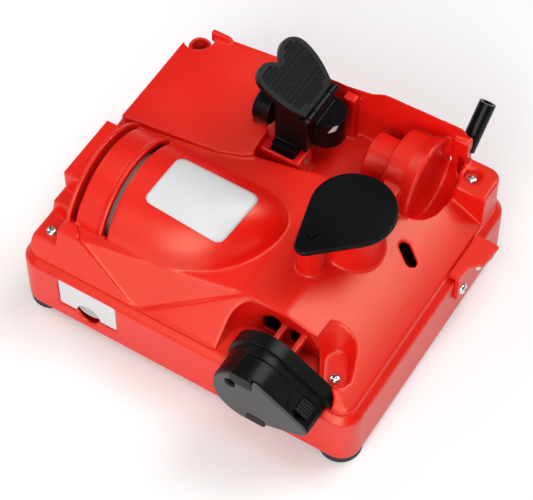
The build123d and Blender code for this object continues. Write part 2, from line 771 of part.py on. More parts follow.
# Base tray with its posts, pads, cradle and drawer opening
pad_z = floor_z + pad_height
feet_x = base_length / 2 - foot_inset
feet_y = base_depth / 2 - foot_inset
feet_places = [(-feet_x, -feet_y), (-feet_x, feet_y), (feet_x, -feet_y), (feet_x, feet_y)]
strap_posts = [(strap_x, spindle_y - strap_reach), (strap_x, spindle_y + strap_reach)]
brackets = (
    (left_bracket, (spindle_y, spindle_z), 30.0),
    (right_bracket, (spindle_y, spindle_z), 30.0),
    (end_bracket, (spindle_y, spindle_z), 24.0),
    (rear_block, (hood_y, hood_z), 20.0),
)
bracket_screw_places = []
for span, center, reach in brackets:
    for side in (-1, 1):
        bracket_screw_places.append((span[1] + tab_length / 2, center[0] + side * (reach - 6)))
with BuildPart() as base_tray:
    with BuildSketch(level(foot_height)):
        RectangleRounded(base_length, base_depth, base_corner)
    extrude(amount=base_top - foot_height)
    chamfer(base_tray.faces().sort_by(Axis.Z)[-1].edges(), rim_chamfer)
    with BuildSketch(level(floor_z)):
        RectangleRounded(base_length - 2 * wall, base_depth - 2 * wall, base_corner - wall)
    extrude(amount=base_top - rim_chamfer - wall - floor_z, mode=Mode.SUBTRACT)
    with BuildSketch(level(floor_z)):
        RectangleRounded(skirt_length - 2 * wall, skirt_depth - 2 * wall, skirt_corner - wall)
    extrude(amount=base_top, mode=Mode.SUBTRACT)
    # air slots under the motor
    with BuildSketch(level(foot_height)):
        with Locations((strap_x, spindle_y)):
            with GridLocations(9, 1, 7, 1):
                SlotOverall(40, 3.2, rotation=90)
    extrude(amount=base_floor, mode=Mode.SUBTRACT)
    # housing posts, strap posts, bracket pads and the motor cradle
    with BuildSketch(level(floor_z)):
        with Locations(*[(x, y) for x, y, seat in screw_places]):
            Circle(post_radius)
    extrude(amount=base_top - floor_z)
    with BuildSketch(level(floor_z)):
        with Locations(*strap_posts):
            Circle(post_radius)
    extrude(amount=strap_z - floor_z)
    for span, center, reach in brackets:
        with BuildSketch(level(floor_z)):
            with Locations(((span[0] + span[1] + tab_length) / 2, center[0])):
                Rectangle(span[1] - span[0] + tab_length, 2 * reach)
        extrude(amount=pad_height)
    cradle_top = spindle_z - 14
    for x in (stator_left + 3, stator_right - 6):
        with BuildSketch(across(x)):
            with Locations((spindle_y, (floor_z + cradle_top) / 2)):
                Rectangle(52, cradle_top - floor_z)
            with Locations((spindle_y, spindle_z)):
                Circle(stator_radius + running, mode=Mode.SUBTRACT)
        extrude(amount=3)
    # shelf that closes the alcove from below
    shelf_left = alcove_left - 2
    shelf_right = alcove_right[-1][0] + 2
    shelf_front = front_wall + rim_chamfer
    with BuildSketch(level(base_top - wall)):
        with Locations(((shelf_left + shelf_right) / 2, (shelf_front + alcove_back + wall) / 2)):
            Rectangle(shelf_right - shelf_left, alcove_back + wall - shelf_front)
    extrude(amount=wall)
    # opening of the drawer and the finger scoop below it
    with BuildSketch(facing(front_wall)):
        with Locations((drawer_x, (drawer_low + drawer_high) / 2)):
            Rectangle(drawer_width + 2 * slip, drawer_high - drawer_low + 2 * slip)
    extrude(amount=-wall - 1, mode=Mode.SUBTRACT)
    with Locations((drawer_x, front_wall - 3.5, drawer_low)):
        Sphere(notch_radius, mode=Mode.SUBTRACT)
    # opening of the rocker switch
    with BuildSketch(across(left_wall)):
        with Locations((switch_y, switch_z)):
            Rectangle(switch_length + 2 * slip, switch_height + 2 * slip)
    extrude(amount=wall, mode=Mode.SUBTRACT)
    # holes for feet, screws and the side rest
    with BuildSketch(level(foot_height)):
        with Locations(*feet_places):
            Circle(foot_stem_radius)
    extrude(amount=base_floor, mode=Mode.SUBTRACT)
    with BuildSketch(level(screw_tip - 1)):
        with Locations(*[(x, y) for x, y, seat in screw_places]):
            Circle(screw_radius + running)
        with Locations(*strap_posts):
            Circle(screw_radius + running)
    extrude(amount=base_top, mode=Mode.SUBTRACT)
    with BuildSketch(level(pad_z - bracket_screw_depth)):
        with Locations(*bracket_screw_places):
            Circle(screw_radius + running)
    extrude(amount=bracket_screw_depth, mode=Mode.SUBTRACT)
    with BuildSketch(across(right_wall)):
        with Locations(*rest_screws):
            Circle(screw_radius + running)
    extrude(amount=-wall, mode=Mode.SUBTRACT)

# Runners that the drawer slides on
with BuildPart() as drawer_runners:
    runner_front = front_wall + wall + 1
    with BuildSketch(level(floor_z)):
        with Locations((drawer_x, (runner_front + drawer_back) / 2)):
            with GridLocations(drawer_width - 2 * runner_width, 1, 2, 1):
                Rectangle(runner_width, drawer_back - runner_front)
    extrude(amount=drawer_low - slip - floor_z)


def bracket(span, center, reach, seat_ring, bore, arms=0):
    """Plate that carries a bearing on a centre given as (y, z), with two screw tabs at its foot."""
    with BuildSketch(across(span[0])) as plate:
        with BuildLine():
            Polyline(
                (center[0] - reach, pad_z),
                (center[0] + reach, pad_z),
                (center[0] + reach, pad_z + 6),
                (center[0] + seat_ring, center[1]),
                (center[0] - seat_ring, center[1]),
                (center[0] - reach, pad_z + 6),
                close=True,
            )
        make_face()
        with Locations(center):
            Circle(seat_ring)
            if arms:
                Rectangle(2 * arms, seat_ring)
            Circle(bore, mode=Mode.SUBTRACT)
        with Locations((center[0], pad_z + 14)):
            RectangleRounded(seat_ring, 14, 3, mode=Mode.SUBTRACT)
    extrude(plate.sketch, amount=span[1] - span[0])
    for side in (-1, 1):
        spot = (span[1] + tab_length / 2, center[0] + side * (reach - 6))
        with BuildSketch(level(pad_z)) as tab:
            with Locations(spot):
                Rectangle(tab_length, 12)
                Circle(screw_radius + running, mode=Mode.SUBTRACT)
        extrude(tab.sketch, amount=3)


def pan_screw(x, y, seat, length):
    """Upright pan-head screw with its head on the seat."""
    with BuildSketch(level(seat)) as head:
        with Locations((x, y)):
            Circle(screw_head_radius)
    extrude(head.sketch, amount=screw_head_height, taper=18)
    with BuildSketch(level(seat)) as shank:
        with Locations((x, y)):
            Circle(screw_radius)
    extrude(shank.sketch, amount=-length)


def sector(left, right, inner, outer, start, sweep):
    """Part of a ring about the main spindle, angles in degrees from +Y towards +Z."""
    center = Vector(spindle_y, spindle_z)
    first = Vector(1, 0).rotate(Axis.Z, start)
    last = Vector(1, 0).rotate(Axis.Z, start + sweep)
    with BuildSketch(across(left)) as profile:
        with BuildLine():
            CenterArc(center, inner, start, sweep)
            CenterArc(center, outer, start, sweep)
            Line(center + first * inner, center + first * outer)
            Line(center + last * inner, center + last * outer)
        make_face()
    extrude(profile.sketch, amount=right - left)


axis_main = (spindle_y, spindle_z)
axis_rear = (hood_y, hood_z)

# Feet and screws
with BuildPart() as rubber_feet:
    with BuildSketch():
        with Locations(*feet_places):
            Circle(foot_radius)
    extrude(amount=foot_height)
    with BuildSketch(level(foot_height)):
        with Locations(*feet_places):
            Circle(foot_stem_radius)
    extrude(amount=base_floor)

with BuildPart() as housing_screws:
    for x, y, seat in screw_places:
        pan_screw(x, y, seat, seat - screw_tip)

with BuildPart() as bracket_screws:
    for x, y in bracket_screw_places:
        pan_screw(x, y, pad_z + 3, 3 + bracket_screw_depth - 0.5)
    for x, y in strap_posts:
        pan_screw(x, y, strap_z + 1.5, 12)

# Motor
with BuildPart() as motor_stator:
    ring(stator_left, stator_right, stator_radius, rotor_radius + air_gap, axis_main)
    with BuildSketch(across(stator_left)) as window:
        with Locations(axis_main):
            with PolarLocations(coil_radius, 4, 45):
                Rectangle(coil_depth + 1, coil_width + 1)
    extrude(window.sketch, amount=stator_right - stator_left, mode=Mode.SUBTRACT)

with BuildPart() as field_coils:
    for start in (45, 225):
        for angle in (start, start + 90):
            with BuildSketch(across(stator_left)) as leg:
                with Locations(axis_main):
                    with PolarLocations(coil_radius, 1, angle):
                        Rectangle(coil_depth, coil_width)
            extrude(leg.sketch, amount=stator_right - stator_left)
        for left in (stator_left - coil_end, stator_right):
            sector(left, left + coil_end, coil_radius - 3, coil_radius + 3, start - 8, 106)

with BuildPart() as motor_strap:
    lean = math.degrees(math.asin((spindle_z - strap_z - 0.75) / (stator_radius + 1)))
    left = strap_x - strap_width / 2
    sector(left, left + strap_width, stator_radius + running, stator_radius + 1.5, -lean, 180 + 2 * lean)
    for x, y in strap_posts:
        side = 1 if y > spindle_y else -1
        inner = spindle_y + side * (stator_radius + 0.75) * math.cos(math.radians(lean))
        outer = y + side * 5
        with BuildSketch(level(strap_z)):
            with Locations((x, (inner + outer) / 2)):
                Rectangle(strap_width, abs(outer - inner))
            with Locations((x, y)):
                Circle(screw_radius + running, mode=Mode.SUBTRACT)
        extrude(amount=1.5)

with BuildPart() as motor_left_bracket:
    bracket(*brackets[0], bearing_radius + 4, bearing_radius)

with BuildPart() as motor_right_bracket:
    bracket(*brackets[1], bearing_radius + 4, bearing_radius, arms=brush_reach)

with BuildPart() as shaft_end_bracket:
    bracket(*brackets[2], end_bearing_radius + 3, end_bearing_radius)

with BuildPart() as rear_bearing_block:
    bracket(*brackets[3], nose_radius + 1, rear_bearing_radius)
    ring(rear_bearing_left - 0.1, rear_block[0], nose_radius, rear_bearing_radius, axis_rear)

with BuildPart() as motor_bearings:
    for span in (left_bracket, right_bracket):
        ring(span[0] + 1, span[0] + 1 + bearing_width, bearing_radius, shaft_radius + running, axis_main)
    left = end_bracket[0] + 1
    ring(left, left + end_bearing_width, end_bearing_radius, shaft_radius + running, axis_main)

with BuildPart() as rear_bearings:
    for left in (rear_bearing_left, rear_block[1] - 0.5 - rear_bearing_width):
        ring(left, left + rear_bearing_width, rear_bearing_radius, rear_shaft_radius + running, axis_rear)

with BuildPart() as carbon_brushes:
    for side in (-1, 1):
        with BuildSketch(across(commutator_left + 1.5)) as brush:
            with Locations((spindle_y + side * (commutator_radius + 0.1 + brush_length / 2), spindle_z)):
                Rectangle(brush_length, brush_height)
        extrude(brush.sketch, amount=brush_width)

with BuildPart() as brush_holders:
    for side in (-1, 1):
        middle = spindle_y + side * (commutator_radius + 3 + (brush_reach - commutator_radius - 3) / 2)
        with BuildSketch(facing(middle)) as tube:
            with Locations(((commutator_left + right_bracket[0]) / 2, spindle_z)):
                Rectangle(right_bracket[0] - commutator_left, brush_height + 5)
            with Locations((commutator_left + 1.5 + brush_width / 2, spindle_z)):
                Rectangle(brush_width + 0.3, brush_height + 0.3, mode=Mode.SUBTRACT)
        extrude(tube.sketch, amount=(brush_reach - commutator_radius - 3) / 2, both=True)

# Main spindle
with BuildPart() as motor_shaft:
    ring(shaft_left, shaft_right, shaft_radius, 0, axis_main)
    ring(hub_right + flange_thickness, left_bracket[0] + 0.7, shaft_radius + 1.5, 0, axis_main)
    ring(drill_wheel_left - 4, drill_wheel_left, shaft_radius + 2, 0, axis_main)

with BuildPart() as rotor_core:
    ring(stator_left, stator_right, rotor_radius, shaft_radius, axis_main)
    with BuildSketch(across(stator_left)) as grooves:
        with Locations(axis_main):
            with PolarLocations(rotor_radius, 12):
                Rectangle(5, 1.6)
    extrude(grooves.sketch, amount=stator_right - stator_left, mode=Mode.SUBTRACT)

with BuildPart() as rotor_windings:
    ring(stator_left - 7, stator_left, rotor_radius - 2, shaft_radius, axis_main)
    ring(stator_right, commutator_left, rotor_radius - 2, shaft_radius, axis_main)

with BuildPart() as commutator:
    ring(commutator_left, commutator_right, commutator_radius, shaft_radius, axis_main)

with BuildPart() as cooling_fan:
    ring(fan_right - 1.5, fan_right, fan_radius, shaft_radius, axis_main)
    ring(fan_left, fan_right, shaft_radius + 4, shaft_radius, axis_main)
    with BuildSketch(across(fan_left)) as blades:
        with Locations(axis_main):
            with PolarLocations((fan_radius + shaft_radius + 3) / 2, 11):
                Rectangle(fan_radius - shaft_radius - 3, 1.5)
    extrude(blades.sketch, amount=fan_right - fan_left)

with BuildPart() as knife_wheel:
    ring(knife_wheel_left, knife_wheel_right, knife_wheel_radius, shaft_radius, axis_main)
    for left in (knife_wheel_left, knife_wheel_right - wheel_recess):
        with BuildSketch(across(left)) as recess:
            with Locations(axis_main):
                Circle(recess_radius)
        extrude(recess.sketch, amount=wheel_recess, mode=Mode.SUBTRACT)

with BuildPart() as knife_wheel_flanges:
    ring(hub_left - flange_thickness, hub_left, recess_radius - 1.5, shaft_radius, axis_main)
    ring(hub_right, hub_right + flange_thickness, recess_radius - 1.5, shaft_radius, axis_main)

with BuildPart() as knife_wheel_nut:
    with BuildSketch(across(shaft_left + 0.8)) as nut:
        with Locations(axis_main):
            RegularPolygon(nut_radius, 6, major_radius=False)
            Circle(shaft_radius, mode=Mode.SUBTRACT)
    extrude(nut.sketch, amount=hub_left - flange_thickness - shaft_left - 0.8)

with BuildPart() as drill_wheel:
    ring(drill_wheel_left, drill_wheel_right, drill_wheel_radius, shaft_radius, axis_main)

with BuildPart() as drill_wheel_nut:
    ring(drill_wheel_right, drill_wheel_right + 1, shaft_radius + 4, shaft_radius, axis_main)
    with BuildSketch(across(drill_wheel_right + 1)) as nut:
        with Locations(axis_main):
            RegularPolygon(nut_radius, 6, major_radius=False)
            Circle(shaft_radius, mode=Mode.SUBTRACT)
    extrude(nut.sketch, amount=2.2)


def pulley(radius, bore, center):
    """Flat-belt pulley with a flange on each side of the belt."""
    ring(belt_left - 0.3, belt_left + belt_width + 0.3, radius, bore, center)
    for left in (belt_left - 1.1, belt_left + belt_width + 0.3):
        ring(left, left + 0.8, radius + flange_rise, bore, center)


with BuildPart() as drive_pulley:
    pulley(drive_pulley_radius, shaft_radius, axis_main)

with BuildPart() as driven_pulley:
    pulley(driven_pulley_radius, rear_shaft_radius, axis_rear)
    with BuildSketch(across(rear_bearing_left - 0.1 - slip)) as room:
        with Locations(axis_rear):
            Circle(nose_radius + 0.5)
    extrude(room.sketch, amount=belt_width + 2, mode=Mode.SUBTRACT)

with BuildPart() as drive_belt:
    for extra, mode in ((belt_thickness, Mode.ADD), (0, Mode.SUBTRACT)):
        with BuildSketch(across(belt_left)) as loop:
            with Locations(axis_main):
                Circle(drive_pulley_radius + belt_gap + extra)
            with Locations(axis_rear):
                Circle(driven_pulley_radius + belt_gap + extra)
            make_hull()
        extrude(loop.sketch, amount=belt_width, mode=mode)

# Rear spindle
with BuildPart() as rear_shaft:
    ring(blade_wheel_left, rear_block[1] - 0.4, rear_shaft_radius, 0, axis_rear)
    with BuildSketch(across(blade_wheel_left)) as tapped:
        with Locations(axis_rear):
            Circle(wheel_screw_radius)
    extrude(tapped.sketch, amount=8, mode=Mode.SUBTRACT)

with BuildPart() as blade_wheel:
    ring(blade_wheel_left, blade_wheel_right, blade_wheel_radius, rear_shaft_radius, axis_rear)

with BuildPart() as blade_wheel_screw:
    ring(blade_wheel_left - 2.6, blade_wheel_left, 6, 0, axis_rear)
    ring(blade_wheel_left, blade_wheel_left + 7.5, wheel_screw_radius, 0, axis_rear)

# Swing cover
cover_low = turret_top + slip
with BuildPart() as swing_cover:
    with BuildSketch(level(cover_low)) as lid:
        with Locations((turret_x, turret_y)):
            Circle(cover_radius)
        with Locations(cover_tip):
            Circle(cover_tip_radius)
        make_hull()
    extrude(lid.sketch, amount=cover_thickness)
    chamfer(swing_cover.faces().sort_by(Axis.Z)[-1].edges(), 0.8)
    eye = disc(level(cover_low), (pivot_x, pivot_y), pivot_radius + running)
    extrude(eye, amount=cover_thickness, mode=Mode.SUBTRACT)

with BuildPart() as cover_pivot_screw:
    head_seat = level(cover_low + cover_thickness + slip)
    extrude(disc(head_seat, (pivot_x, pivot_y), pivot_head), amount=1.8, taper=15)
    extrude(disc(head_seat, (pivot_x, pivot_y), pivot_radius), amount=-pivot_depth)

# Tool holder
slope = math.radians(plate_angle)
up_slope = (-math.cos(slope), 0, math.sin(slope))
plate_normal = (math.sin(slope), 0, math.cos(slope))
plate_plane = Plane(origin=(plate_x, plate_y, plate_z), x_dir=up_slope, z_dir=plate_normal)


def holder_top(x):
    """Height of the holder's sloped top at x, a small gap under the clamp plate."""
    drop = plate_thickness + 0.4
    return plate_z - (drop + (x - plate_x) * math.sin(slope)) / math.cos(slope)


def hinge_barrel(radius, front, back):
    """Round along Y about the hinge of the clamp plate."""
    with BuildSketch(facing(back)) as barrel:
        with Locations((hinge_x, hinge_z)):
            Circle(radius)
    return extrude(barrel.sketch, amount=back - front, mode=Mode.PRIVATE)


def clamp_outline():
    """Heart-shaped outline of the clamp plate; the plate's own y runs to the front."""
    with BuildSketch(plate_plane) as outline:
        with BuildLine():
            Spline(*[(a, -b) for a, b in plate_back_lobe])
            Spline(*[(a, -b) for a, b in plate_front_lobe])
            Line((0, 0), (0, -plate_back_lobe[0][1]))
        make_face()
    return outline.sketch


ears = ((holder_front + 2, knuckle_front - slip), (knuckle_back + slip, holder_back + 2))
with BuildPart() as holder_body:
    side = (
        (holder_left, holder_low),
        (holder_right, holder_low),
        (holder_right, holder_top(holder_right)),
        (holder_left, holder_top(holder_left)),
    )
    extrude(polygon(facing(holder_back), side), amount=holder_back - holder_front)
    extrude(disc(level(drum_low), (drum_x, drum_y), drum_radius), amount=drum_high - drum_low)
    with BuildSketch(across(fork_left + 0.5)) as foot:
        with Locations((rock_y, rock_z)):
            Circle(holder_foot)
        with Locations((rock_y, (rock_z + holder_low + 2) / 2)):
            Rectangle(2 * holder_foot, holder_low + 2 - rock_z)
    extrude(foot.sketch, amount=fork_right - fork_left - 1)
    add(hinge_barrel(hinge_radius, ears[0][0], ears[1][1]))
    add(hinge_barrel(hinge_radius + 0.4, knuckle_front - slip, knuckle_back + slip), mode=Mode.SUBTRACT)
    add(hinge_barrel(hinge_pin_radius, ears[0][0], ears[1][1]), mode=Mode.SUBTRACT)
    pin_hole = disc(across(fork_left), (rock_y, rock_z), rock_pin_radius + running)
    extrude(pin_hole, amount=fork_right - fork_left, mode=Mode.SUBTRACT)
    stem_hole = disc(across(holder_left), (knob_y, knob_z), knob_stem_radius + running)
    extrude(stem_hole, amount=knob_stem_depth, mode=Mode.SUBTRACT)

with BuildPart() as holder_pin:
    ring(pedestal_left, pedestal_right, rock_pin_radius, 0, (rock_y, rock_z))

with BuildPart() as clamp_plate:
    extrude(clamp_outline(), amount=-plate_thickness)
    extrude(clamp_outline(), amount=plate_rim)
    with BuildSketch(plate_plane) as inside:
        add(offset(clamp_outline().faces()[0], amount=-rim_width, mode=Mode.PRIVATE))
    extrude(inside.sketch, amount=plate_rim, mode=Mode.SUBTRACT)
    # ridges across the plate that hold the tool
    with BuildSketch(plate_plane) as ridges:
        with Locations((ridge_pitch * (ridge_count + 1) / 2, -17)):
            with GridLocations(ridge_pitch, 1, ridge_count, 1):
                Rectangle(ridge_pitch / 3, 60)
    ridge_bars = extrude(ridges.sketch, amount=plate_rim * 0.7, mode=Mode.PRIVATE)
    add(ridge_bars & extrude(clamp_outline(), amount=plate_rim, mode=Mode.PRIVATE))
    for front, back in ears:
        add(hinge_barrel(hinge_radius + 0.4, front - slip, back + slip), mode=Mode.SUBTRACT)
    add(hinge_barrel(hinge_radius, knuckle_front, knuckle_back))
    add(hinge_barrel(hinge_pin_radius + running, knuckle_front, knuckle_back), mode=Mode.SUBTRACT)

with BuildPart() as clamp_hinge_pin:
    add(hinge_barrel(hinge_pin_radius, ears[0][0], ears[1][1]))

with BuildPart() as clamp_knob:
    ring(knob_left, knob_right, knob_radius, 0, (knob_y, knob_z))
    fillet(clamp_knob.faces().sort_by(Axis.X)[0].edges(), knob_edge)
    ring(knob_right, holder_left + knob_stem_depth - 2, knob_stem_radius, 0, (knob_y, knob_z))

# Drill guide, with the thumb slide on the sloped edge between its round and its tip
reach = math.hypot(guide_tip[0] - guide_x, guide_tip[1] - guide_z)
edge_slope = math.asin((guide_radius - guide_tip_radius) / reach) - math.atan2(guide_tip[1] - guide_z, reach)
edge_normal = Vector(math.sin(edge_slope), 0, math.cos(edge_slope))
edge_along = Vector(math.cos(edge_slope), 0, -math.sin(edge_slope))
edge_start = Vector(guide_x, 0, guide_z) + edge_normal * guide_radius
slide_plane = Plane(origin=edge_start + edge_along * slide_place, x_dir=edge_along, z_dir=edge_normal)


def lug_shapes(y, grow):
    """Outlines of the two lugs in the guide's face."""
    with BuildSketch(facing(y)) as lugs:
        for x, z, width, height in face_lugs:
            with Locations((x, z)):
                RectangleRounded(width + 2 * grow, height + 2 * grow, lug_corner)
    return lugs.sketch


with BuildPart() as guide_mount:
    extrude(teardrop(mount_radius, flange_tip, mount_back), amount=mount_back - flange_front)
    extrude(teardrop(guide_radius, guide_tip_radius, flange_front), amount=flange_front - mount_front)
    with BuildSketch(facing(mount_back)) as trim:
        with Locations((guide_x, base_top + 0.5 + far / 2)):
            Rectangle(base_length, far)
    extrude(trim.sketch, amount=far, mode=Mode.INTERSECT)
    with BuildSketch(facing(mount_back)) as holes:
        with Locations((guide_x, guide_z)):
            Circle(guide_pin_radius + running)
        with Locations(drill_port):
            Circle(1.25 * drill_port_radius)
    extrude(holes.sketch, amount=mount_back - mount_front, mode=Mode.SUBTRACT)

slide_back = guide_back - 1
slide_room = slide_back - guide_front - 0.5
with BuildPart() as guide_body:
    extrude(teardrop(guide_radius, guide_tip_radius, guide_back), amount=guide_back - guide_front)
    extrude(lug_shapes(guide_back, 0), amount=guide_back - face_front)
    pivot = disc(facing(guide_back), (guide_x, guide_z), guide_pin_radius)
    extrude(pivot, amount=guide_back - mount_back - slip)
    port = disc(facing(guide_back), drill_port, drill_port_radius)
    extrude(port, amount=guide_back - face_front, mode=Mode.SUBTRACT)
    with BuildSketch(slide_plane.offset(-slide_stem)) as groove:
        with Locations((0, slide_back - slide_room / 2)):
            Rectangle(slide_neck, slide_room)
    extrude(groove.sketch, amount=20, mode=Mode.SUBTRACT)

with BuildPart() as guide_face:
    face_shape = teardrop(guide_radius - face_inset, guide_tip_radius - face_inset, guide_front)
    extrude(face_shape, amount=guide_front - face_front)
    extrude(lug_shapes(guide_front, slip / 2), amount=guide_front - face_front, mode=Mode.SUBTRACT)
    port = disc(facing(guide_front), drill_port, drill_port_radius)
    extrude(port, amount=guide_front - face_front, mode=Mode.SUBTRACT)

with BuildPart() as guide_screw:
    head = disc(facing(mount_back + slip + 2.5), (guide_x, guide_z), guide_pin_radius + 0.5)
    extrude(head, amount=2.5)

with BuildPart() as thumb_slide:
    middle = slide_back - slide_length / 2
    with BuildSketch(slide_plane.offset(slip)) as pad:
        with Locations((0, middle)):
            Rectangle(slide_width, slide_length)
    extrude(pad.sketch, amount=2.5)
    with BuildSketch(slide_plane.offset(slip + 2.5)) as ridges:
        with Locations((0, middle)):
            with GridLocations(1, 2, 1, 5):
                Rectangle(slide_width, 0.9)
    extrude(ridges.sketch, amount=0.9)
    stem_length = slide_room - slide_travel - 2 * slip
    with BuildSketch(slide_plane.offset(slip - slide_stem)) as stem:
        with Locations((0, slide_back - slip - stem_length / 2)):
            Rectangle(slide_neck - 2 * slip, stem_length)
    extrude(stem.sketch, amount=slide_stem)

# Drawer
with BuildPart() as drawer:
    front = front_wall + drawer_recess
    with BuildSketch(facing(front)) as plate:
        with Locations((drawer_x, (drawer_low + drawer_high) / 2)):
            RectangleRounded(drawer_width, drawer_high - drawer_low, 1)
    extrude(plate.sketch, amount=-wall)
    box_front = front + wall
    box_width = drawer_width - 2 * slip
    with BuildSketch(level(drawer_low)) as box:
        with Locations((drawer_x, (box_front + drawer_back) / 2)):
            Rectangle(box_width, drawer_back - box_front)
    extrude(box.sketch, amount=drawer_box_top - drawer_low)
    with BuildSketch(level(drawer_low + drawer_wall)) as room:
        with Locations((drawer_x, (box_front + drawer_back - drawer_wall) / 2)):
            Rectangle(box_width - 2 * drawer_wall, drawer_back - drawer_wall - box_front)
    extrude(room.sketch, amount=drawer_box_top, mode=Mode.SUBTRACT)
    with BuildSketch(facing(box_front - 1)) as shield:
        with Locations((drawer_x, drawer_low)):
            Circle(notch_radius + 1.6)
        with Locations((drawer_x, drawer_low - notch_radius)):
            Rectangle(4 * notch_radius, 2 * notch_radius, mode=Mode.SUBTRACT)
    extrude(shield.sketch, amount=-8)
    notch = disc(facing(front), (drawer_x, drawer_low), notch_radius)
    extrude(notch, amount=-wall - 5, mode=Mode.SUBTRACT)

# Side rest
with BuildPart() as side_rest:
    outline = [(right_wall + x, y) for x, y in rest_outline]
    extrude(polygon(level(rest_z), outline), amount=rest_thickness)
    middle = (rest_screws[0][0] + rest_screws[1][0]) / 2
    tab_low = rest_screws[0][1] - 6
    with BuildSketch(across(right_wall)) as tab:
        with Locations((middle, (tab_low + rest_z + 1) / 2)):
            Rectangle(rest_tab, rest_z + 1 - tab_low)
        with Locations(*rest_screws):
            Circle(screw_radius + running, mode=Mode.SUBTRACT)
    extrude(tab.sketch, amount=wall)

with BuildPart() as side_rest_screws:
    outside = right_wall + wall
    for place in rest_screws:
        ring(outside, outside + screw_head_height, screw_head_radius, 0, place)
        ring(outside - 2 * wall - 4, outside, screw_radius, 0, place)

# Cord sleeve and clamp
with BuildPart() as cord_sleeve:
    with BuildSketch(sleeve_plane) as tube:
        Circle(sleeve_radius)
        Circle(sleeve_bore, mode=Mode.SUBTRACT)
    extrude(tube.sketch, amount=sleeve_way.length)

with BuildPart() as cord_clamp:
    with BuildSketch(facing(clamp_y)) as saddle:
        with Locations((clamp_x, floor_z + clamp_size[2] / 2)):
            Rectangle(clamp_size[0], clamp_size[2])
            Circle(clamp_bore, mode=Mode.SUBTRACT)
    extrude(saddle.sketch, amount=-clamp_size[1])

# Switch, its rocker turns on a pin in the switch's side walls
rocker_height = switch_height - 4
with BuildPart() as switch_body:
    with BuildSketch(across(left_wall - bezel_rise)) as bezel:
        with Locations((switch_y, switch_z)):
            RectangleRounded(switch_length + 5, switch_height + 5, 2)
    extrude(bezel.sketch, amount=bezel_rise)
    with BuildSketch(across(left_wall)) as block:
        with Locations((switch_y, switch_z)):
            Rectangle(switch_length, switch_height)
    extrude(block.sketch, amount=switch_depth)
    with BuildSketch(across(left_wall - bezel_rise)) as window:
        with Locations((switch_y, switch_z)):
            Rectangle(switch_length - 4, switch_height - 3)
    extrude(window.sketch, amount=switch_depth - 6, mode=Mode.SUBTRACT)
    pin_holes = disc(level(switch_z - switch_height / 2), rocker_pin, rocker_pin_radius + running)
    extrude(pin_holes, amount=switch_height, mode=Mode.SUBTRACT)

with BuildPart() as switch_rocker:
    rocker = (
        (left_wall + 3, switch_y - rocker_half),
        (left_wall - 3, switch_y - rocker_half),
        (left_wall - 1.5, switch_y),
        (left_wall - 3, switch_y + rocker_half),
        (left_wall + 3, switch_y + rocker_half),
        (left_wall + 6, switch_y),
    )
    extrude(polygon(level(switch_z - rocker_height / 2), rocker), amount=rocker_height)
    pin_low = switch_z - switch_height / 2 + slip
    extrude(disc(level(pin_low), rocker_pin, rocker_pin_radius), amount=switch_height - 2 * slip)

cad_nodes = {
    "upper_housing": upper_housing,
    "base_tray": base_tray,
    "rubber_feet": rubber_feet,
    "housing_screws": housing_screws,
    "bracket_screws": bracket_screws,
    "motor_stator": motor_stator,
    "field_coils": field_coils,
    "motor_strap": motor_strap,
    "motor_left_bracket": motor_left_bracket,
    "motor_right_bracket": motor_right_bracket,
    "shaft_end_bracket": shaft_end_bracket,
    "rear_bearing_block": rear_bearing_block,
    "motor_bearings": motor_bearings,
    "rear_bearings": rear_bearings,
    "carbon_brushes": carbon_brushes,
    "brush_holders": brush_holders,
    "motor_shaft": motor_shaft,
    "rotor_core": rotor_core,
    "rotor_windings": rotor_windings,
    "commutator": commutator,
    "cooling_fan": cooling_fan,
    "knife_wheel": knife_wheel,
    "knife_wheel_flanges": knife_wheel_flanges,
    "knife_wheel_nut": knife_wheel_nut,
    "drill_wheel": drill_wheel,
    "drill_wheel_nut": drill_wheel_nut,
    "drive_pulley": drive_pulley,
    "driven_pulley": driven_pulley,
    "drive_belt": drive_belt,
    "rear_shaft": rear_shaft,
    "blade_wheel": blade_wheel,
    "blade_wheel_screw": blade_wheel_screw,
    "swing_cover": swing_cover,
    "cover_pivot_screw": cover_pivot_screw,
    "holder_body": holder_body,
    "holder_pin": holder_pin,
    "clamp_plate": clamp_plate,
    "clamp_hinge_pin": clamp_hinge_pin,
    "clamp_knob": clamp_knob,
    "guide_mount": guide_mount,
    "guide_body": guide_body,
    "guide_face": guide_face,
    "guide_screw": guide_screw,
    "thumb_slide": thumb_slide,
    "drawer": drawer,
    "drawer_runners": drawer_runners,
    "side_rest": side_rest,
    "side_rest_screws": side_rest_screws,
    "cord_sleeve": cord_sleeve,
    "cord_clamp": cord_clamp,
    "switch_body": switch_body,
    "switch_rocker": switch_rocker,
}
for node, piece in cad_nodes.items():
    print(node, round(piece.part.volume), len(piece.part.solids()), piece.part.bounding_box())
    piece.part.label = node
    export_step(piece.part, "parts/" + node + ".step")
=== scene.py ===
import json
import math

import bmesh
import bpy
from mathutils import Matrix, Vector
from mathutils.bvhtree import BVHTree


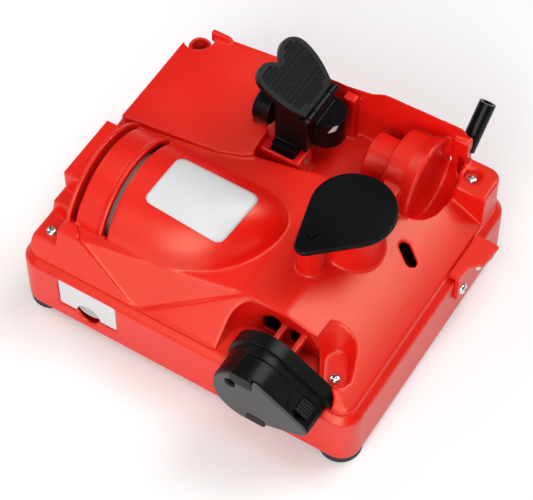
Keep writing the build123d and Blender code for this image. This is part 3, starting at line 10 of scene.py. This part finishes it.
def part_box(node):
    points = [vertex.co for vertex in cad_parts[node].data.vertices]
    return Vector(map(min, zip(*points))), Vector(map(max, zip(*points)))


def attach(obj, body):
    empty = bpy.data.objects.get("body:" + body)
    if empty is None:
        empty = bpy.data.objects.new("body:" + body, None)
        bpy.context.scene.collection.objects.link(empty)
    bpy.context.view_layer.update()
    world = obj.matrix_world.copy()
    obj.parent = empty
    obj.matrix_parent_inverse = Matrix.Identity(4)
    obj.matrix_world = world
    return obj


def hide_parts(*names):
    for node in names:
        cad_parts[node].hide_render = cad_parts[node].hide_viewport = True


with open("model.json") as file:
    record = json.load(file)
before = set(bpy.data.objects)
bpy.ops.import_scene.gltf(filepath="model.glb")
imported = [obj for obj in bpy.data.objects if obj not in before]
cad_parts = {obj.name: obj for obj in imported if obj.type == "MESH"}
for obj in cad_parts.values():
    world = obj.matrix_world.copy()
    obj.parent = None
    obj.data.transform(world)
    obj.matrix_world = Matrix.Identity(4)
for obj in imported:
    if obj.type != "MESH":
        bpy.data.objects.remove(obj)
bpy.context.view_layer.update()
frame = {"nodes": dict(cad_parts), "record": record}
scene = bpy.context.scene
nodes = frame["nodes"]
record = frame["record"]
slot_of = {entry["node"]: entry["material_slot"] for entry in record["subparts"]}
body_of = {node: body for body, held in record["behaviour"]["bodies"].items() for node in held}
mm = 0.001                          # in metres; plain sizes of pieces below are in mm
white = (1.0, 1.0, 1.0, 1.0)
sharp_angle = math.radians(35)      # faces that meet more steeply than this show an edge


def looking_from(azimuth, elevation):
    """Direction from the object to a viewer or lamp: azimuth in degrees from the front to the right."""
    turn = math.radians(azimuth)
    rise = math.radians(elevation)
    return Vector((math.sin(turn) * math.cos(rise), -math.cos(turn) * math.cos(rise), math.sin(rise)))


camera_way = looking_from(azimuth=31.71, elevation=55.0)


# Shader maths: a socket with operators, so that a pattern reads as a formula
class Sock:
    def __init__(self, tree, socket=None):
        self.tree = tree
        self.socket = socket

    def node(self, kind, inputs=None, out=0, **settings):
        """Any shader node: settings are its properties, inputs its sockets by name or number.

        Gives the socket that it puts out by the name or number out."""
        made = self.tree.nodes.new(kind)
        for key, value in settings.items():
            setattr(made, key, value)
        for key, value in (inputs or {}).items():
            if isinstance(value, Sock):
                self.tree.links.new(value.socket, made.inputs[key])
            else:
                made.inputs[key].default_value = value
        return Sock(self.tree, made.outputs[out])

    def math(self, operation, other):
        return self.node("ShaderNodeMath", {0: self, 1: other}, operation=operation)

    def __add__(self, other):
        return self.math("ADD", other)

    __radd__ = __add__

    def __mul__(self, other):
        return self.math("MULTIPLY", other)

    __rmul__ = __mul__

    def noise(self, scale, detail=2.0, rough=0.5):
        """Noise at this place, with about scale lumps to the metre."""
        inputs = {"Vector": self, "Scale": scale, "Detail": detail, "Roughness": rough}
        return self.node("ShaderNodeTexNoise", inputs)

    def ramp(self, low, high, to_low=0.0, to_high=1.0):
        """This value taken from the range low to high over to another range, and kept inside it."""
        return self.node("ShaderNodeMapRange", {0: self, 1: low, 2: high, 3: to_low, 4: to_high})

    def mix(self, first, second):
        """Colour between first and second, by this factor."""
        return self.node("ShaderNodeMix", {0: self, 6: first, 7: second}, out=2, data_type="RGBA")

    def relief(self, strength, depth):
        """Normal of a surface with this height, depth in metres."""
        return self.node("ShaderNodeBump", {"Height": self, "Strength": strength, "Distance": depth})


def material(name, roughness, metallic=0.0, coat=0.0):
    """New Principled material: returns it with its shader node and the object's own coordinates."""
    made = bpy.data.materials.new(name)
    made.use_nodes = True
    tree = made.node_tree
    shader = tree.nodes["Principled BSDF"]
    shader.inputs["Roughness"].default_value = roughness
    shader.inputs["Metallic"].default_value = metallic
    shader.inputs["Coat Weight"].default_value = coat
    return made, shader, Sock(tree).node("ShaderNodeTexCoord", out="Object")


def put(into, **inputs):
    """Link sockets to the inputs of a node, by their names with underscores for spaces."""
    for key, value in inputs.items():
        value.tree.links.new(value.socket, into.inputs[key.replace("_", " ")])


# Finishes, one for each of the record's material slots
looks = {}
cloud_scale = 24.0
cloud_detail = 3.0
colour_span = (0.3, 0.7)            # the part of the cloud's range that the colours are spread over
gloss_span = (0.2, 0.8)             # and the part that the gloss is spread over
cloud_smoother = 0.06               # how far a cloud takes the roughness down, and up
cloud_rougher = 0.02
grain_breakup = 0.6
grain_rougher = 0.06
grain_strength = 0.35


def clouded(cloud, dark, light):
    """Colour that a cloud takes from dark to light."""
    return cloud.ramp(*colour_span).mix((*dark, 1), (*light, 1))


def grained(slot, dark, light, roughness, grains, depth, coat=0.0, metallic=0.0):
    """Moulded or cast finish: a fine grain in relief, and a faint cloud in its colour and gloss.

    dark and light are the colours that the cloud goes between, grains the grains to the metre, and
    depth their height in metres."""
    looks[slot], shader, place = material(slot, roughness, metallic, coat)
    cloud = place.noise(cloud_scale, cloud_detail)
    grain = place.noise(grains, rough=grain_breakup)
    gloss = cloud.ramp(*gloss_span, roughness - cloud_smoother, roughness + cloud_rougher)
    put(
        shader,
        Base_Color=clouded(cloud, dark, light),
        Roughness=gloss + grain * grain_rougher,
        Normal=grain.relief(grain_strength, depth),
    )


def grey(value, blue=1.0):
    """Grey of a value, with its blue made stronger or weaker."""
    return (value, value, value * blue)


grained("red_plastic", (0.72, 0.004, 0.002), (0.77, 0.006, 0.003), 0.36, 1500, 1.0e-4)
grained("black_plastic", grey(0.002), grey(0.004), 0.3, 1300, 0.8e-4)
grained("grey_plastic", grey(0.045), grey(0.065), 0.45, 1400, 2.0e-4)
grained("white_plastic", grey(0.64), grey(0.68), 0.4, 1200, 0.6e-4)
grained("foot_rubber", grey(0.006, 2.5), grey(0.012, 2.3), 0.55, 900, 1.2e-4)
grained("belt_rubber", grey(0.012), grey(0.02), 0.7, 900, 1.5e-4)
grained("screw_chrome", grey(0.62), grey(0.78), 0.2, 700, 0.1e-4, metallic=1.0)
grained("steel", grey(0.45, 1.04), grey(0.58, 1.04), 0.32, 900, 0.2e-4, metallic=1.0)
grained("lamination", grey(0.22, 1.08), grey(0.3, 1.07), 0.5, 800, 0.5e-4, metallic=1.0)
grained("copper_wire", (0.5, 0.17, 0.06), (0.66, 0.27, 0.11), 0.35, 1600, 2.0e-4, coat=0.3, metallic=0.8)
grained("bracket_metal", grey(0.5, 1.05), grey(0.6, 1.05), 0.45, 700, 1.0e-4, metallic=1.0)
grained("abrasive_grey", grey(0.2), grey(0.42), 0.85, 1900, 6.0e-4)
grained("abrasive_pink", (0.5, 0.3, 0.28), (0.72, 0.5, 0.47), 0.85, 1900, 6.0e-4)
grained("carbon", grey(0.012), grey(0.025), 0.6, 1200, 1.0e-4)


def set_gloss(slot, level, tint=white):
    """Strength and tint of the mirror-like share of a slot's finish."""
    shader = looks[slot].node_tree.nodes["Principled BSDF"]
    shader.inputs["Specular IOR Level"].default_value = level
    shader.inputs["Specular Tint"].default_value = tint


set_gloss("red_plastic", level=0.62, tint=(1.0, 1.0, 0.7, 1.0))
set_gloss("black_plastic", level=0.16)
for node, slot in slot_of.items():
    nodes[node].data.materials.clear()
    nodes[node].data.materials.append(looks[slot])


# Pieces: how a mesh becomes part of the model
def add_piece(name, mesh, body, slot, stands_for=None):
    """Link a mesh as a piece that rides on a body, with a slot's finish; it may stand for a node."""
    piece = bpy.data.objects.new(name, mesh)
    scene.collection.objects.link(piece)
    mesh.materials.clear()
    mesh.materials.append(looks[slot])
    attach(piece, body)
    if stands_for:
        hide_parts(stands_for)
    return piece


class Work:
    """A mesh under work: modifiers go on, and result() gives the mesh with them applied."""

    def __init__(self, mesh):
        self.piece = bpy.data.objects.new("work", mesh)
        scene.collection.objects.link(self.piece)

    def modify(self, kind, **settings):
        """Add a modifier of a kind, and set its settings by name."""
        added = self.piece.modifiers.new(kind.lower(), kind)
        for key, value in settings.items():
            setattr(added, key, value)
        return self

    def result(self):
        """The mesh with its modifiers applied; the work is over."""
        graph = bpy.context.evaluated_depsgraph_get()
        mesh = bpy.data.meshes.new_from_object(self.piece.evaluated_get(graph))
        bpy.data.objects.remove(self.piece)
        return mesh


def finished(name, build):
    """New mesh from a bmesh, which is used up."""
    mesh = bpy.data.meshes.new(name)
    build.to_mesh(mesh)
    build.free()
    return mesh


def cut_away(mesh, cutter):
    """Mesh with the form of a bmesh cutter cut out of it; the cutter is used up."""
    held = bpy.data.objects.new("cutter", finished("cutter", cutter))
    scene.collection.objects.link(held)
    work = Work(mesh)
    work.modify("BOOLEAN", object=held, operation="DIFFERENCE", solver="EXACT", use_self=True)
    mesh = work.result()
    bpy.data.objects.remove(held)
    return mesh


def skin_of(mesh):
    """Search tree of a mesh, for casting rays onto it."""
    faces = [tuple(polygon.vertices) for polygon in mesh.polygons]
    return BVHTree.FromPolygons([vertex.co for vertex in mesh.vertices], faces)


smooth_factor = 0.5
normal_weight = 80


def moulded(node, cell, rounds, triangles, softness=None, form=None):
    """A node's own form with its edges rounded, as a mould leaves them, or another form given for it.

    cell is the size in mm at which the form is taken over, rounds how often it is smoothed, triangles
    about how many it keeps, and softness(point) the share of the smoothing at a point in mm."""
    form = form or nodes[node].data.copy()
    mesh = Work(form).modify("REMESH", mode="VOXEL", voxel_size=cell * mm).result()
    faces = len(mesh.polygons)
    work = Work(mesh)
    zone = {}
    if softness:
        group = work.piece.vertex_groups.new(name="softness")
        for vertex in mesh.vertices:
            group.add([vertex.index], softness(vertex.co / mm), "REPLACE")
        zone["vertex_group"] = group.name
    work.modify("SMOOTH", factor=smooth_factor, iterations=rounds, **zone)
    work.modify("DECIMATE", ratio=min(1.0, triangles / (2 * faces)))
    work.modify("WEIGHTED_NORMAL", weight=normal_weight, keep_sharp=False)
    mesh = work.result()
    mesh.shade_smooth()
    return add_piece(node + "_moulded", mesh, body_of[node], slot_of[node], node)


# Moulded parts
lips_right = -66.0                  # the knife slots' lips lie left of, in front of and over these
lips_back = 15.0
lips_low = 76.0
lips_softness = 0.5
guide_x = 59.0                      # the axis that the drill guide turns about runs front to back here
guide_z = 55.0
guide_hole_reach = 6.0
small_parts = (
    "holder_body", "clamp_knob", "guide_body", "guide_face", "thumb_slide",
    "swing_cover", "side_rest", "drawer", "switch_body", "switch_rocker",
)


def knife_lips(point):
    """Less smoothing round the lips of the knife slots."""
    near = point.x < lips_right and point.y < lips_back and point.z > lips_low
    return lips_softness if near else 1.0


def guide_hole(point):
    """No smoothing in the hole that the drill guide turns in."""
    return 0.0 if math.hypot(point.x - guide_x, point.z - guide_z) < guide_hole_reach else 1.0


housing = moulded("upper_housing", cell=0.7, rounds=16, triangles=150000, softness=knife_lips)
moulded("base_tray", cell=0.9, rounds=10, triangles=40000)
moulded("guide_mount", cell=0.3, rounds=5, triangles=24000, softness=guide_hole)
for node in small_parts:
    moulded(node, cell=0.4, rounds=4, triangles=16000)


# Clamp plate: grooves across its face, inside a plain rim
plate_corner = Vector((1.4, 45.7, 114.0))       # the low front corner, where its slope starts
plate_slope = math.radians(32.0)
plate_up = Vector((-math.cos(plate_slope), 0.0, math.sin(plate_slope)))
plate_out = Vector((math.sin(plate_slope), 0.0, math.cos(plate_slope)))
plate_back = Vector((0.0, 1.0, 0.0))
plate_face = 1.2                    # height of its face over the corner
plate_before = -20.0                # where rays through the plate start, from its corner to the back
plate_inside = -2.0                 # and their height over its face
plate_rim = 4.0
groove_first = 4.2
groove_pitch = 3.0
groove_count = 12
groove_half = 1.0
groove_depth = 1.0
groove_over = 1.0                   # how far the cutter stands over the face
groove_draft = 0.35                 # how far each side and end leans in, and out over the face
groove_least = 3.0                  # shorter grooves are left out
past_face = 0.01                    # step from one face that a ray hits to the next


def on_plate(up, back, out):
    """Place on the clamp plate, in metres, from mm up its slope, to the back and off its face."""
    return (plate_corner + plate_up * up + plate_back * back + plate_out * (plate_face + out)) * mm


def plate_spans(skin, up):
    """Where the plate begins and ends, front to back, at a place up its slope."""
    place = on_plate(up, plate_before, plate_inside)
    edges = []
    while True:
        hit = skin.ray_cast(place, plate_back)[0]
        if hit is None:
            return list(zip(edges[::2], edges[1::2]))
        edges.append(hit.y / mm - plate_corner.y)
        place = hit + plate_back * past_face * mm


def common(spans, others):
    """Spans that lie in both lists of spans."""
    pairs = [(max(a[0], b[0]), min(a[1], b[1])) for a in spans for b in others]
    return [(start, end) for start, end in pairs if start < end]


def grooved_plate():
    """The plate's form with its grooves cut."""
    form = nodes["clamp_plate"].data.copy()
    skin = skin_of(form)
    build = bmesh.new()
    for step in range(groove_count):
        up = groove_first + groove_pitch * step
        inside = [(front + plate_rim, back - plate_rim) for front, back in plate_spans(skin, up)]
        for beside in (up - plate_rim, up + plate_rim):
            inside = common(inside, plate_spans(skin, beside))
        for front, back in inside:
            if back - front < groove_least:
                continue
            ring = []
            for out, less in ((groove_over, -groove_draft), (-groove_depth, groove_draft)):
                low, high = up - groove_half + less, up + groove_half - less
                near, far = front + less, back - less
                corners = ((low, near), (high, near), (high, far), (low, far))
                ring.append([build.verts.new(on_plate(*corner, out)) for corner in corners])
            top, bottom = ring
            build.faces.new(top)
            build.faces.new(bottom[::-1])
            for index in range(4):
                after = (index + 1) % 4
                build.faces.new((top[after], top[index], bottom[index], bottom[after]))
    bmesh.ops.recalc_face_normals(build, faces=build.faces)
    return cut_away(form, build)


moulded("clamp_plate", cell=0.22, rounds=2, triangles=60000, form=grooved_plate())


# Label: a thin blank plate that follows the bump's crown
label_corners = (
    Vector((-54.4, -14.8, 102.3)),
    Vector((6.3, -15.2, 102.3)),
    Vector((0.8, -54.7, 94.8)),
    Vector((-55.3, -55.7, 103.0)),
)
label_rounding = (0.17, 0.25)       # as shares of half the plate's length and width
label_rings = 14
label_spokes = 96
label_thickness = 0.35
label_lift = 0.1
label_drop = 50.0                   # how far off the corners' level its points start


def rounded_outline(angle):
    """Point at an angle on the outline of the label, which reaches from -1 to 1 both ways."""
    way = (math.cos(angle), math.sin(angle))
    flat = [value / max(map(abs, way)) for value in way]
    limits = [1 - round_off for round_off in label_rounding]
    core = [max(-limit, min(limit, value)) for value, limit in zip(flat, limits)]
    parts = list(zip(flat, core, label_rounding))
    out = Vector([(value - kept) / round_off for value, kept, round_off in parts])
    if out.length == 0:
        return Vector(flat)
    out.normalize()
    return Vector([kept + value * round_off for kept, value, round_off in zip(core, out, label_rounding)])


def on_label(across, along):
    """Place over the label's quadrilateral, across and along from -1 to 1."""
    back_left, back_right, front_right, front_left = label_corners
    back = back_left.lerp(back_right, (across + 1) / 2)
    front = front_left.lerp(front_right, (across + 1) / 2)
    return front.lerp(back, (along + 1) / 2)


def label_plate():
    """The label, its points dropped onto the housing along the way that the camera looks."""
    skin = skin_of(housing.data)
    build = bmesh.new()

    def drop(across, along):
        place = on_label(across, along) * mm
        hit, normal = skin.ray_cast(place + camera_way * label_drop * mm, -camera_way)[:2]
        return build.verts.new(hit + normal * label_lift * mm)

    middle = drop(0, 0)
    outline = [rounded_outline(math.tau * spoke / label_spokes) for spoke in range(label_spokes)]
    rings = []
    for ring in range(1, label_rings + 1):
        share = ring / label_rings
        rings.append([drop(*(corner * share)) for corner in outline])
    for spoke in range(label_spokes):
        after = (spoke + 1) % label_spokes
        build.faces.new((middle, rings[0][spoke], rings[0][after]))
        for inner, outer in zip(rings, rings[1:]):
            build.faces.new((inner[spoke], outer[spoke], outer[after], inner[after]))
    work = Work(finished("label", build))
    mesh = work.modify("SOLIDIFY", thickness=label_thickness * mm, offset=1.0).result()
    mesh.shade_smooth()
    add_piece("label_plate", mesh, "housing", "white_plastic")


label_plate()


# Small white pieces: the holder's index mark, and the finger scoop of the drawer
drum_middle = Vector((5.0, 68.0, 0.0))
drum_radius = 13.0
mark_corners = (                    # angle in degrees from the front to the right, and height in mm
    Vector((33.0, 93.6)),
    Vector((55.0, 94.4)),
    Vector((62.0, 98.6)),
    Vector((47.0, 98.8)),
)
mark_thickness = 0.3
mark_lift = 0.02
scoop_radius = 8.7
scoop_depth = (0.7, 7.4)            # from the drawer's front to the scoop's front and back edge
scoop_setback = 1.6                 # how much further back the front edge is at its ends
scoop_lift = 0.2
scoop_rise = 2.4
scoop_thickness = 0.8
patch_steps = 16


def patch(name, place, thickness, body, slot):
    """Thin piece over a square patch: place(across, along), both from 0 to 1, gives points in mm."""
    build = bmesh.new()
    shares = [step / patch_steps for step in range(patch_steps + 1)]
    rows = [[build.verts.new(place(across, along) * mm) for across in shares] for along in shares]
    for row, further in zip(rows, rows[1:]):
        for index in range(patch_steps):
            build.faces.new((row[index], row[index + 1], further[index + 1], further[index]))
    mesh = Work(finished(name, build)).modify("SOLIDIFY", thickness=thickness * mm, offset=1.0).result()
    mesh.shade_smooth()
    mesh.set_sharp_from_angle(angle=sharp_angle)
    add_piece(name, mesh, body, slot)


def on_drum(across, along):
    """Place in the index mark's outline, on the round side of the holder."""
    tip, low_right, high_right, high_left = mark_corners
    low = tip.lerp(low_right, across)
    high = high_left.lerp(high_right, across)
    angle, height = low.lerp(high, along)
    turn = math.radians(angle)
    out = Vector((math.sin(turn), -math.cos(turn), 0.0)) * (drum_radius + mark_lift)
    return drum_middle + out + Vector((0.0, 0.0, height))


drawer_low, drawer_high = [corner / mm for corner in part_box("drawer")]


def on_scoop(across, along):
    """Place on the scoop's floor, which rises to the back inside the drawer's round notch."""
    side = 2 * across - 1
    front = scoop_depth[0] + scoop_setback * side * side
    depth = front + (scoop_depth[1] - front) * along
    rise = scoop_lift + scoop_rise * along * along
    reach = math.sqrt(scoop_radius ** 2 - (rise + scoop_thickness) ** 2)
    middle = (drawer_low.x + drawer_high.x) / 2
    return Vector((middle + side * reach, drawer_low.y + depth, drawer_low.z + rise))


patch("index_mark", on_drum, mark_thickness, "holder", "white_plastic")
patch("drawer_scoop", on_scoop, scoop_thickness, "drawer", "white_plastic")


# Screws with a cross recess, in place of the plain ones
# radius and height, from the top, as shares of the head's own
head_profile = ((0.0, 1.0), (0.4, 0.97), (0.7, 0.84), (0.9, 0.6), (1.0, 0.3), (1.0, 0.0))
head_steps = 40
head_height = 2.6
shank_radius = 2.0
tip_length = 2.0
cross_length = 1.3                  # of the recess cutter's top, as shares of the head's radius
cross_width = 0.3
cross_bottom = (0.45, 0.7)          # length and width of its bottom, as shares of its top's
cross_place = 0.85                  # height of its middle, as a share of the head's height
first_turn = 0.35                   # how far the first recess is turned, and each next one further
next_turn = 0.5
weld_reach = 1e-6                   # in metres


def lathe(build, profile, steps):
    """Turned form about Z from (radius, height) points: the first and last on the axis."""
    first, *rings, last = profile
    top = build.verts.new((0, 0, first[1]))
    bottom = build.verts.new((0, 0, last[1]))
    turns = [math.tau * step / steps for step in range(steps)]
    made = [[build.verts.new((r * math.cos(t), r * math.sin(t), z)) for t in turns] for r, z in rings]
    for step in range(steps):
        after = (step + 1) % steps
        build.faces.new((top, made[0][step], made[0][after]))
        build.faces.new((bottom, made[-1][after], made[-1][step]))
        for upper, lower in zip(made, made[1:]):
            build.faces.new((upper[step], lower[step], lower[after], upper[after]))


def cross_screw(radius, length):
    """Pan-head screw with its head's underside at z 0 and a cross recess, as a mesh in metres."""
    build = bmesh.new()
    profile = [(r * radius * mm, z * head_height * mm) for r, z in head_profile]
    shank = ((shank_radius, 0.0), (shank_radius, -length), (0.0, -length - tip_length))
    profile += [(r * mm, z * mm) for r, z in shank]
    lathe(build, profile, head_steps)
    cutter = bmesh.new()
    for turn in (0.0, math.pi / 2):
        bar = bmesh.ops.create_cube(cutter, size=1.0)["verts"]
        size = Vector((cross_length * radius, cross_width * radius, head_height)) * mm
        bmesh.ops.scale(cutter, verts=bar, vec=size)
        for vertex in bar:
            if vertex.co.z < 0:
                vertex.co.x *= cross_bottom[0]
                vertex.co.y *= cross_bottom[1]
        bmesh.ops.translate(cutter, verts=bar, vec=(0, 0, cross_place * head_height * mm))
        bmesh.ops.rotate(cutter, verts=bar, cent=(0, 0, 0), matrix=Matrix.Rotation(turn, 3, "Z"))
    return cut_away(finished("screw", build), cutter)


def islands(node):
    """Lowest and highest corner of each separate solid in a node."""
    build = bmesh.new()
    build.from_mesh(nodes[node].data)
    bmesh.ops.remove_doubles(build, verts=build.verts, dist=weld_reach)
    left = set(build.verts)
    boxes = []
    while left:
        front = [left.pop()]
        held = list(front)
        while front:
            for edge in front.pop().link_edges:
                for vertex in edge.verts:
                    if vertex in left:
                        left.remove(vertex)
                        front.append(vertex)
                        held.append(vertex)
        corners = [[function(v.co[axis] for v in held) for axis in range(3)] for function in (min, max)]
        boxes.append([Vector(corner) for corner in corners])
    build.free()
    return sorted(boxes, key=lambda box: tuple(box[0]))


def crossed_screws(node, axis):
    """Screws of a node with crossed heads: axis names where the heads look, X or Z."""
    build = bmesh.new()
    for index, (low, high) in enumerate(islands(node)):
        way = "XYZ".index(axis)
        size = (high - low) / mm
        radius = size[(way + 1) % 3] / 2
        mesh = cross_screw(radius, size[way] - head_height - tip_length)
        seat = (low + high) / 2
        seat[way] = high[way] - head_height * mm
        turn = Matrix.Rotation(first_turn + next_turn * index, 4, "Z")
        tilt = Matrix.Rotation(math.pi / 2, 4, "Y") if axis == "X" else Matrix.Identity(4)
        mesh.transform(Matrix.Translation(seat) @ tilt @ turn)
        build.from_mesh(mesh)
        bpy.data.meshes.remove(mesh)
    joined = finished(node, build)
    joined.shade_smooth()
    joined.set_sharp_from_angle(angle=sharp_angle)
    add_piece(node + "_crossed", joined, body_of[node], slot_of[node], node)


crossed_screws("housing_screws", "Z")
crossed_screws("side_rest_screws", "X")


# Stage: a white floor, and soft studio light, in metres
floor_half = 6.0
floor_lumps = 3.0
floor_dark = grey(0.95)
floor_light = grey(0.97)
floor_roughness = 0.9
floor_glow = 0.12                   # share of plain white in the floor, which softens the shadow on it
world_strength = 0.08
lamp_distance = 3.0
target = Vector((0.00896, -0.01306, 0.045))     # what the lamps and the camera look at

build = bmesh.new()
bmesh.ops.create_grid(build, x_segments=1, y_segments=1, size=floor_half)
floor_mesh = finished("floor", build)
floor = bpy.data.objects.new("floor", floor_mesh)
scene.collection.objects.link(floor)
paper, shader, place = material("paper", floor_roughness)
put(shader, Base_Color=clouded(place.noise(floor_lumps), floor_dark, floor_light))
camera_ray = place.node("ShaderNodeLightPath", out="Is Camera Ray")
glossy_ray = place.node("ShaderNodeLightPath", out="Is Glossy Ray")
through_ray = place.node("ShaderNodeLightPath", out="Is Transmission Ray")
share = (camera_ray + glossy_ray + through_ray) * floor_glow
lit = Sock(paper.node_tree, shader.outputs["BSDF"])
glow = place.node("ShaderNodeEmission", {"Color": white, "Strength": 1.0})
surface = place.node("ShaderNodeMixShader", {0: share, 1: lit, 2: glow})
put(paper.node_tree.nodes["Material Output"], Surface=surface)
floor_mesh.materials.append(paper)

world = bpy.data.worlds.new("studio")
scene.world = world
world.use_nodes = True
background = world.node_tree.nodes["Background"]
background.inputs["Color"].default_value = white
background.inputs["Strength"].default_value = world_strength


def lamp(name, azimuth, elevation, size, power):
    """Square soft box, its place in degrees, its size in metres and its power in watts."""
    data = bpy.data.lights.new(name, "AREA")
    data.shape = "SQUARE"
    data.size = size
    data.energy = power
    made = bpy.data.objects.new(name, data)
    scene.collection.objects.link(made)
    away = looking_from(azimuth, elevation)
    made.location = target + away * lamp_distance
    made.rotation_euler = away.to_track_quat("Z", "Y").to_euler()


lamp("front_box", azimuth=8, elevation=30, size=2.2, power=73.0)
lamp("right_box", azimuth=150, elevation=54, size=1.7, power=48.0)
lamp("top_box", azimuth=60, elevation=84, size=1.6, power=18.0)
lamp("left_fill", azimuth=-95, elevation=40, size=1.6, power=18.0)

# Camera at the photograph's place
camera_distance = 1.4222
sensor_width = 36.0
photo_width = 533.0
photo_focal = 2200.0                # focal length in the photograph's pixels
camera_data = bpy.data.cameras.new("camera")
camera = bpy.data.objects.new("camera", camera_data)
scene.collection.objects.link(camera)
camera_data.sensor_width = sensor_width
camera_data.lens = sensor_width * photo_focal / photo_width
camera.location = target + camera_way * camera_distance
camera.rotation_euler = camera_way.to_track_quat("Z", "Y").to_euler()
scene.camera = camera
scene.view_settings.view_transform = "Standard"
